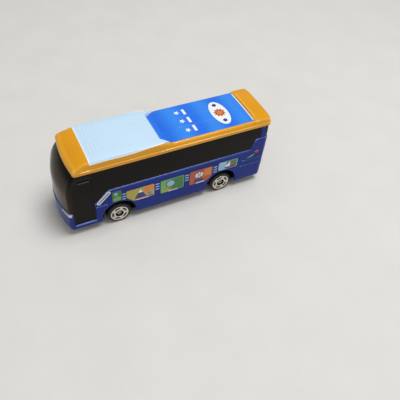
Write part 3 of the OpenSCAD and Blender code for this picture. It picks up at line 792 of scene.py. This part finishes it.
# Profile from the deck to the eave: shares of the way out, with shares of the height or drops from the bead
BEAD_Z = EAVE_Z + 1.35
SHOULDER = [(0.09, 0.985), (0.22, 0.93), (0.37, 0.81), (0.5, 0.63), (0.6, 0.43), (0.67, 0.24), (0.71, 0.08)]
BEAD = [(0.75, 0.0), (0.85, -0.02), (0.94, -0.12), (1.0, -0.3), (0.985, -0.46), (0.955, -0.56)]
BAND = [(0.95, -0.62), (0.95, -1.2), (0.92, -1.32), (0.84, -1.35), (0.3, -1.35)]
# The nose's own shares of the way out for the shoulder and the bead
NOSE_OUT = [0.13, 0.3, 0.49, 0.67, 0.81, 0.9, 0.95, 0.96, 0.975, 0.99, 1.0, 0.985, 0.955]
NOSE_OUT_XS = (30.0, 33.5)
SIDE_FROM, SIDE_TO = SIDE_RUN + 2, SIDE_RUN + 72


def roof_runs():
    """Distances along the plan for the roof's edge, all the way round."""
    left = [*np.linspace(0, SIDE_FROM, 46), *np.linspace(SIDE_FROM, SIDE_TO, 110)[1:],
            *np.linspace(SIDE_TO, END, 30)[1:]]
    return left + [-s for s in left[-2:0:-1]]


def make_roof():
    """Yellow roof with its dome, tail block, rounded shoulders and beaded eave."""
    runs = roof_runs()
    inner, outer = [roof_inner(s) for s in runs], [roof_outer(s) for s in runs]

    def rim(p, _n, _b):
        i = min(range(len(inner)), key=lambda k: (inner[k].x - p.x) ** 2 + (inner[k].y - p.y) ** 2)
        nose = ease(*NOSE_OUT_XS, inner[i].x)
        heights = [(p.z - BEAD_Z) * share for _, share in SHOULDER] + [drop for _, drop in BEAD + BAND]
        outs = [out for out, _ in SHOULDER + BEAD + BAND]
        outs[:len(NOSE_OUT)] = [a + (b - a) * nose for a, b in zip(outs, NOSE_OUT)]
        spots = [inner[i].lerp(outer[i], out) for out in outs]
        return [Vector((q.x, q.y, BEAD_Z + h)) for q, h in zip(spots, heights)]

    loop = [(p.x, p.y) for p in inner]
    bm = shell([loop], lambda x, y: Vector((x, y, roof_top(x, y))), step=0.5, rim=rim, depth=1.2,
               outside=up_out, extra=STEP_POINTS + BLOCK_POINTS)
    piece("roof_shell", [(bm, YELLOW)], "bus", ["roof_casting"], angle=60)


# Roof labels

LABEL_GAP, NOTCH_GAP, FAR_CUT = 0.02, 0.03, 1.2
# How far the pale label hangs over the dome's shoulders along x, and the blue one over the right shoulder
HANG_XS = [-1.0, 2.0, 5.6, 9.2, 12.8, 17.7, 24.0, 28.8]
HANG = [-0.05, -0.02, 0.08, 0.5, 0.85, 1.0, 0.85, 0.85]
FAR_HANG, PALE_BORDER = 0.45, 0.42
FAR_OFFSETS = (0.0, 0.06, 0.15, 0.3)
HANG_OFFSETS = FAR_OFFSETS + (0.5, 0.8, 1.1, 1.4)
PALE_LIFT, STEP_LIFT, STEP_LIFT_XS = 0.05, 0.06, (3.5, 6.0)
# White stars, dashes, badge and rear edge on the blue label, and the sun, disc and dots on its badge
BADGE, EMBLEM_LIFT, EMBLEM_LAYER = (-22.8, 0.3), 0.075, 0.01
MOTIFS = [star(-8.0, y, 1.15, 0.52, 5) for y in (-5.0, 0.0, 5.0)]
MOTIFS += [oblong(-11.2, y - 1.5, -10.2, y + 1.5) for y in (-4.7, 0.0, 4.7)]
MOTIFS += [circle(*BADGE, 3.2, 56, 2.05)]
REAR_EDGE = oblong(LABEL_REAR_X - LABEL_GAP, 0.5 - LABEL_HALF_Y, LABEL_REAR_X + 0.32, LABEL_HALF_Y - 0.5)
EMBLEM = [(star(*BADGE, 2.4, 1.6, 10), "rust"), (circle(*BADGE, 1.1, 28), "orange")]
EMBLEM += [(circle(BADGE[0], BADGE[1] + dy, 0.8, 24), "navy") for dy in (-4.5, 4.5)]


def on_roof(lift):
    """Places a film on the roof, with the moulded detail showing through."""
    return lambda x, y: Vector((x, y, roof_top(x, y) + relief(x, y) + lift))


def over_shoulder(x, v, lift):
    """Point on the roof at a distance from the middle that is measured over the shoulder."""
    w, a = deck_half(x), abs(v)
    if a <= w:
        return on_roof(lift)(x, v)
    top, edge = roof_top(x, w), (HALF_W + EAVE_LIP) * EAVE_SHARE
    line = [Vector((w, top))] + [Vector((w + (edge - w) * out, BEAD_Z + (top - BEAD_Z) * share))
                                 for out, share in SHOULDER]
    rest = a - w
    for p, q in zip(line, line[1:]):
        span = (q - p).length
        if rest <= span or q is line[-1]:
            at = p.lerp(q, rest / span)
            n = Vector((p.y - q.y, q.x - p.x)).normalized()
            return Vector((x, math.copysign(at.x + n.x * lift, v), at.y + n.y * lift))
        rest -= span


def film(loops, place, step=0.5, thick=0.04, outside=up_out, extra=()):
    """A thin printed film."""
    return panel([dense(loop, step=0.35) for loop in loops], place, step, 0.015, thick, outside, extra)


def blue_label_loop():
    """Outline of the blue label, which lies a little over the right shoulder."""
    y, n, far = LABEL_HALF_Y, LABEL_NECK_Y, deck_half(LABEL_REAR_X) + FAR_HANG
    front, back = LABEL_EDGE_X - LABEL_GAP, LABEL_EDGE_X - LABEL_CHAMFER - LABEL_GAP
    return rounded([(LABEL_REAR_X, -far), (back - FAR_CUT, -far), (back, -y), (front, -n), (front, n),
                    (back, y), (LABEL_REAR_X, y)], radius=0.5)


def make_blue_label():
    """Blue label over the rear half of the roof, with its printed shapes in layers."""
    art = [(film([loop], on_roof(lift=0.06)), WHITE) for loop in MOTIFS]
    for k, (loop, ink) in enumerate(EMBLEM):
        art.append((film([loop], on_roof(EMBLEM_LIFT + EMBLEM_LAYER * k)), INK[ink]))
    art.append((film([REAR_EDGE], on_roof(lift=0.06)), WHITE))
    points = [(x, -deck_half(x) - d) for x in np.linspace(LABEL_REAR_X + 0.1, -1.5, num=90)
              for d in FAR_OFFSETS]
    blue = film([blue_label_loop()], lambda x, v: over_shoulder(x, v, lift=0.04),
                extra=RELIEF_POINTS + points)
    piece("blue_label", [(blue, SKY)] + art, "bus", ["roof_label_rear"])


def pale_edge(x_from):
    """Left edge of the pale label, which hangs over the shoulder of the dome."""
    return [(x, deck_half(x) + np.interp(x, HANG_XS, HANG))
            for x in np.linspace(x_from, PALE_FRONT_X, 80)]


def pale_border_loop():
    """Outline of the white border along the sides and the front of the pale label."""
    edge = pale_edge(LABEL_EDGE_X)
    inner = [(min(x, PALE_FRONT_X - PALE_BORDER), y - PALE_BORDER) for x, y in edge[:-1]]
    return edge + [(x, -y) for x, y in edge[::-1] + inner] + inner[::-1]


def pale_label_loop():
    """Outline of the pale label, with a notch for the blue one."""
    edge = pale_edge(HANG_XS[0])
    notch = [(LABEL_EDGE_X - LABEL_CHAMFER + LABEL_GAP, LABEL_HALF_Y + NOTCH_GAP),
             (LABEL_EDGE_X + LABEL_GAP, LABEL_NECK_Y + NOTCH_GAP)]
    return edge + [(x, -y) for x, y in edge[::-1] + notch] + notch[::-1]


def pale_place(more):
    """Places a film of the pale label, which is lifted more near the step of the dome."""
    return lambda x, v: over_shoulder(x, v, PALE_LIFT + STEP_LIFT * (1 - ease(*STEP_LIFT_XS, x)) + more)


def make_pale_label():
    """Pale label over the dome, with a white border."""
    points = STEP_POINTS + RELIEF_POINTS
    points += [(x, side * (deck_half(x) + d)) for x in np.linspace(0.5, PALE_FRONT_X - 0.1, num=90)
               for d in HANG_OFFSETS for side in (-1, 1)]
    pale = film([pale_label_loop()], pale_place(more=0.0), step=0.45, extra=points)
    border = film([pale_border_loop()], pale_place(more=0.03), step=0.45, extra=points)
    piece("pale_label", [(pale, PALE), (border, WHITE)], "bus", ["roof_label_front"], angle=60)


# Side prints: small scenes of hills, balloons, stars and boats

# Front, rear, lower and upper edge of each tile, and the outline as shares of it, cut where an arch is near
SQUARE = oblong(0, 0, 1, 1)
TILES = [((22.4, 19.0, 11.4, 16.4), SQUARE),
         ((17.3, 6.8, 9.0, 14.8), [(0.26, 0), (1, 0), (1, 1), (0, 1), (0, 0.45)]),
         ((4.3, -4.9, 8.6, 14.8), SQUARE),
         ((-7.3, -16.5, 8.3, 15.0), [(0, 0), (0.78, 0), (1, 0.28), (1, 1), (0, 1)]),
         ((-19.2, -27.2, 11.4, 15.4), SQUARE)]
# Ground ink and shapes of each tile, as shares of its length and height
TILE_ART = [
    ("green", [([(0.08, 0.06), (0.92, 0.06), (0.92, 0.34), (0.55, 0.5), (0.08, 0.3)], "leaf"),
               (circle(0.4, 0.72, 0.2, 20, 0.68), "ice")]),
    ("olive", [(oblong(0.64, 0.5, 0.97, 0.95), "orange"),
               ([(0.28, 0.14), (0.72, 0.14), (0.5, 0.86)], "navy"),
               ([(0.42, 0.6), (0.58, 0.6), (0.5, 0.86)], "white"), (oblong(0.38, 0.04, 0.96, 0.15), "red"),
               (circle(0.83, 0.32, 0.07, 20, 1.8), "sky"), (oblong(0.36, 0.0, 0.8, 0.05), "white")]),
    ("leaf", [(oblong(0.46, 0.04, 0.97, 0.96), "green"), (circle(0.42, 0.62, 0.21, 28, 1.4), "green"),
              (circle(0.42, 0.62, 0.16, 28, 1.4), "ice"), (oblong(0.36, 0.16, 0.48, 0.28), "rust"),
              (oblong(0.08, 0.04, 0.44, 0.12), "olive"), (oblong(0.34, 0.0, 0.72, 0.05), "white")]),
    ("rust", [(oblong(0.64, 0.42, 0.96, 0.95), "orange"),
              ([(0.16, 0.1), (0.66, 0.1), (0.56, 0.34), (0.26, 0.34)], "navy"),
              (star(0.42, 0.62, 0.22, 0.13, 8), "white"), (circle(0.42, 0.62, 0.1, 20, 1.3), "ice"),
              (oblong(0.3, 0.0, 0.68, 0.05), "white")]),
    ("ice", [(oblong(0.42, 0.04, 0.97, 0.96), "green"),
             ([(0.3, 0.24), (0.92, 0.24), (0.82, 0.06), (0.4, 0.06)], "navy"),
             ([(0.6, 0.28), (0.36, 0.28), (0.6, 0.92)], "white"),
             ([(0.64, 0.28), (0.86, 0.28), (0.64, 0.74)], "red")]),
]
# A kite and its tail on the rear quarter
KITE = [([(-31.2, 13.7), (-33.6, 14.2), (-34.8, 15.3), (-33.0, 14.8)], "leaf"),
        ([(-34.2, 16.2), (-35.4, 17.0), (-36.6, 16.2), (-35.4, 15.4)], "red")]
BAR_Z, BAR_PITCH, BAR_H, BAR_HALF, BAR_GAP, BARS = 11.3, 1.25, 0.5, 0.75, 0.25, 3
PRINT_LIFT, SHAPE_LIFT, SHAPE_LAYER = 0.03, 0.042, 0.007


def on_tile(shape, span):
    """A shape in shares of a tile, at its place on the side."""
    front, rear, low, high = span
    return [(front + u * (rear - front), low + v * (high - low)) for u, v in shape]


def bar_loops():
    """Outlines of the short bars between the tiles."""
    loops = []
    for ((_, rear, *_), _), ((front, *_), _) in zip(TILES, TILES[1:]):
        middle, half = (rear + front) / 2, min(BAR_HALF, (rear - front) / 2 - BAR_GAP)
        for k in range(BARS):
            z = BAR_Z + BAR_PITCH * k
            loops.append(oblong(middle - half, z, middle + half, z + BAR_H))
    return loops


def make_prints(name, side):
    """Tiles, bars and kite on one side."""
    parts = []

    def add(loop, ink, lift=PRINT_LIFT):
        layer = film([loop], side_place(side, lift), step=0.6, thick=0.03, outside=sideways(side))
        parts.append((layer, INK[ink]))

    for (span, outline), (ink, shapes) in zip(TILES, TILE_ART):
        add(rounded(on_tile(outline, span), radius=0.6), ink)
        for k, (shape, shape_ink) in enumerate(shapes):
            add(on_tile(shape, span), shape_ink, SHAPE_LIFT + SHAPE_LAYER * k)
    for loop in bar_loops():
        add(loop, "ice")
    for loop, ink in KITE:
        add(loop, ink)
    piece("side_art_" + name, parts, "bus", ["side_prints_" + name])


# Lamps and trim

TRIM_DROP, TRIM_SHORT, TRIM_SINK = 0.78, 0.8, 0.04
# Radii of the ends of the trim's frame and inlay, how far each stands out, and the roll of its edge
FRAME, INLAY = ((0.6, 0.42), 0.24, 0.12), ((0.34,), 0.16, 0.04)
# Outlines of the lamps on the unrolled surface
HEADLAMP = rounded([(6.1, 10.55), (run_of(36.9), 9.75), (run_of(36.9), 11.0), (6.1, 11.05)], radius=0.35)
TAIL_LAMP = rounded(oblong(run_at_tail(9.0) - 0.6, 7.3, run_at_tail(6.5), 10.3), radius=0.5)


def capsule(r):
    """Outline of a bar with round ends, along the slanted edge of the belt and below it."""
    (x0, z0), (x1, z1) = SLANT_FOOT, SLANT_TOP
    run = Vector((x1 - x0, z1 - z0))
    along, down = run.normalized(), Vector((-run.y, run.x)).normalized()
    middle, reach = Vector((x0, z0)) + run / 2 + down * TRIM_DROP, run.length / 2 - TRIM_SHORT
    loop = []
    for end, start in ((-reach, 90), (reach, -90)):
        for t in (math.radians(a) for a in range(start, start + 181, 15)):
            p = middle + along * (end + r * math.cos(t)) + down * r * math.sin(t)
            loop.append((p.x, p.y))
    return dense(loop, step=0.25)


def make_trim(name, side):
    """Slanted silver frame with a grey inlay, along the belt behind the door; the frame's near-white, barely
    metallic colour is partly a painted highlight.
    """
    def plate(radii, proud, roll):
        return panel([capsule(r) for r in radii], side_place(side, proud), 0.4, roll, proud + TRIM_SINK,
                     sideways(side))

    parts = [(plate(*FRAME), TRIM_SILVER_AND_HIGHLIGHT), (plate(*INLAY), TRIM_GREY)]
    piece("quarter_bar_" + name, parts, "bus", ["quarter_trim_" + name])


def make_lamps(name, side):
    """Slim silver lamp round the bumper's corner, and upright red lamp in the tail."""
    def lens(outline, roll):
        return panel([on_side(outline, side, step=0.25)], body_place(inset=-0.06), 0.4, roll, depth=0.3)

    head, tail = lens(HEADLAMP, roll=0.08), lens(TAIL_LAMP, roll=0.12)
    piece("headlamp_lens_" + name, [(head, LAMP)], "bus", ["headlamp_" + name])
    piece("tail_lens_" + name, [(tail, RED)], "bus", ["tail_lamp_" + name])


# Wheels

# Radius and distance from the middle of the bus
TYRE_PROFILE = [(0.66, 5.62), (1.34, 5.62), (1.4, 5.68), (1.4, 6.42), (3.3, 6.42), (3.86, 6.46), (4.16, 6.6),
                (4.34, 6.86), (4.4, 7.2), (4.4, 9.25), (4.35, 9.6), (4.2, 9.85), (3.98, 9.99), (3.7, 10.03),
                (3.56, 10.0), (3.5, 9.93), (3.44, 9.93), (3.42, 10.0), (3.38, 10.06), (1.56, 10.06),
                (1.49, 10.02), (1.47, 9.95), (1.47, 9.22), (0.66, 9.22)]
TYRE_STEPS = 80
RING_R, RECESS_R, RING_Y, RING_EDGE = 3.38, 1.5, 10.1, 0.06
RING_BEAD, RING_BEAD_FALL, RING_LIP, RING_LIP_FALL = (0.09, 2.95, 3.2), (3.25, 3.38), 0.05, (1.6, 1.9)
SLOTS, SLOT_RS = 5, (2.08, 2.88)
SLOT_ARC = [math.radians(a) for a in (-23, -11, 0, 11, 23)]


def lathe(profile, x, side):
    """A body of revolution about an axle."""
    bm = bmesh.new()
    rings = [[bm.verts.new((x + r * math.cos(a), side * y, AXLE_Z + r * math.sin(a)))
              for a in turns(TYRE_STEPS)] for r, y in profile]
    for a, b in zip(rings, rings[1:] + rings[:1]):
        for i in range(TYRE_STEPS):
            j = (i + 1) % TYRE_STEPS
            bm.faces.new([a[i], a[j], b[j], b[i]])
    bmesh.ops.recalc_face_normals(bm, faces=bm.faces)
    return bm


def slot_loops():
    """Outlines of the slots of a hub ring."""
    arcs = zip(SLOT_RS, (SLOT_ARC, SLOT_ARC[::-1]))
    slot = rounded([(r * math.cos(a), r * math.sin(a)) for r, arc in arcs for a in arc], radius=0.2, steps=2)
    return [[tuple(Matrix.Rotation(a, 2) @ Vector(p)) for p in slot] for a in turns(SLOTS)]


def make_wheel(name, x, side):
    """A black wheel and its silver hub ring, which has a raised bead, a lip and slots."""
    core = lathe(TYRE_PROFILE, x, side)
    piece("tyre_" + name, [(core, TYRE)], "wheel_" + name, ["wheel_" + name], angle=50)

    def place(u, v):
        r = math.hypot(u, v)
        dish = eased(*RING_BEAD, r) * (1 - ease(*RING_BEAD_FALL, r))
        dish += RING_LIP * (1 - ease(*RING_LIP_FALL, r))
        return Vector((x + u, side * (RING_Y + dish), AXLE_Z + v))

    loops = [circle(0, 0, RING_R - RING_EDGE, 90), circle(0, 0, RECESS_R + RING_EDGE, 44)] + slot_loops()
    ring = panel([dense(loop, step=0.16) for loop in loops], place, step=0.2, roll=0.04, depth=0.06,
                 outside=sideways(side))
    piece("hub_ring_" + name, [(ring, FOIL)], "wheel_" + name, ["foil_" + name])


# CAD nodes that are shown as they are, with a material and softened edges

KEPT = {"seat_tray": SEAT, "chassis_base": BLACK, "base_rivets": STEEL, "front_axle": STEEL,
        "rear_axle": STEEL}
SOFT_EDGE, AXLE_SOFT_EDGE, SOFT_ANGLE = 0.15, 0.08, 40


def keep_nodes():
    """Gives the kept nodes their materials, and a bevel that leaves their meshes alone."""
    for name, mat in KEPT.items():
        obj = nodes[name]
        obj.data.materials.clear()
        obj.data.materials.append(mat)
        bevel = obj.modifiers.new("soft_edges", "BEVEL")
        bevel.width = (AXLE_SOFT_EDGE if name.endswith("axle") else SOFT_EDGE) * MM
        bevel.segments = 2
        bevel.limit_method = "ANGLE"
        bevel.angle_limit = math.radians(SOFT_ANGLE)


# Stage, light and camera, in metres

LIGHT_AIM = (0, 0, 0.015)
# Place, width and power of each lamp
LIGHTS = {"key": ((-0.12, 0.06, 0.55), 0.3, 2.0), "fill": ((0.45, 0.35, 0.3), 0.4, 0.35)}
ROOM_COLOUR, ROOM_LIGHT = (1.0, 0.99, 0.97, 1), 0.38
# The camera, in millimetres, degrees and pixels, as fitted to the photo
CAM_AZ, CAM_EL, CAM_ROLL = math.radians(149.097), math.radians(47.601), math.radians(6.298)
CAM_AIM, CAM_TX, CAM_TY, CAM_DIST = Vector((-1.3, 0.0, 12.0)), -13.678, 13.291, 184.453
CAM_FOCAL_PX, IMAGE_PX, SENSOR = 490.729, 400, 36.0


def make_stage():
    """A wide paper floor."""
    mesh = bpy.data.meshes.new("floor")
    bm = bmesh.new()
    bmesh.ops.create_grid(bm, x_segments=8, y_segments=8, size=3.0)
    bm.to_mesh(mesh)
    bm.free()
    floor = show("floor", mesh)
    mesh.materials.append(material("floor_paper", srgb(226, 224, 220), 0.8, vary=0.02, spec=0.1))


def make_lights():
    """Two round lamps and an even room light."""
    for name, (place, size, power) in LIGHTS.items():
        data = bpy.data.lights.new(name, "AREA")
        data.shape, data.size, data.energy = "DISK", size, power
        obj = show(name, data)
        obj.location = place
        obj.rotation_euler = (Vector(LIGHT_AIM) - Vector(place)).to_track_quat("-Z", "Y").to_euler()
    world = bpy.data.worlds.new("studio")
    world.use_nodes = True
    tree = world.node_tree
    feed(tree, tree.nodes["Background"], {"Color": ROOM_COLOUR, "Strength": ROOM_LIGHT})
    bpy.context.scene.world = world


def make_camera():
    """The camera of the photo."""
    level = math.cos(CAM_EL)
    back = Vector((math.sin(CAM_AZ) * level, -math.cos(CAM_AZ) * level, math.sin(CAM_EL)))
    right = Vector((math.cos(CAM_AZ), math.sin(CAM_AZ), 0))
    up = back.cross(right)
    right, up = (right * math.cos(CAM_ROLL) + up * math.sin(CAM_ROLL),
                 up * math.cos(CAM_ROLL) - right * math.sin(CAM_ROLL))
    data = bpy.data.cameras.new("camera")
    data.sensor_width = SENSOR
    data.lens = SENSOR * CAM_FOCAL_PX / IMAGE_PX
    data.clip_start = 0.01
    obj = show("camera", data)
    turn = Matrix((right, up, back)).transposed().to_4x4()
    where = (CAM_AIM - right * CAM_TX - up * CAM_TY + back * CAM_DIST) * MM
    obj.matrix_world = Matrix.Translation(where) @ turn
    bpy.context.scene.camera = obj


bpy.context.scene.view_settings.view_transform = "Standard"
make_camera()
make_stage()
make_lights()
make_body()
make_glass()
make_roof()
make_blue_label()
make_pale_label()
for side_name, side_sign in SIDES.items():
    make_prints(side_name, side_sign)
    make_trim(side_name, side_sign)
    make_lamps(side_name, side_sign)
for wheel_name, (wheel_x, wheel_side) in WHEELS.items():
    make_wheel(wheel_name, wheel_x, wheel_side)
keep_nodes()
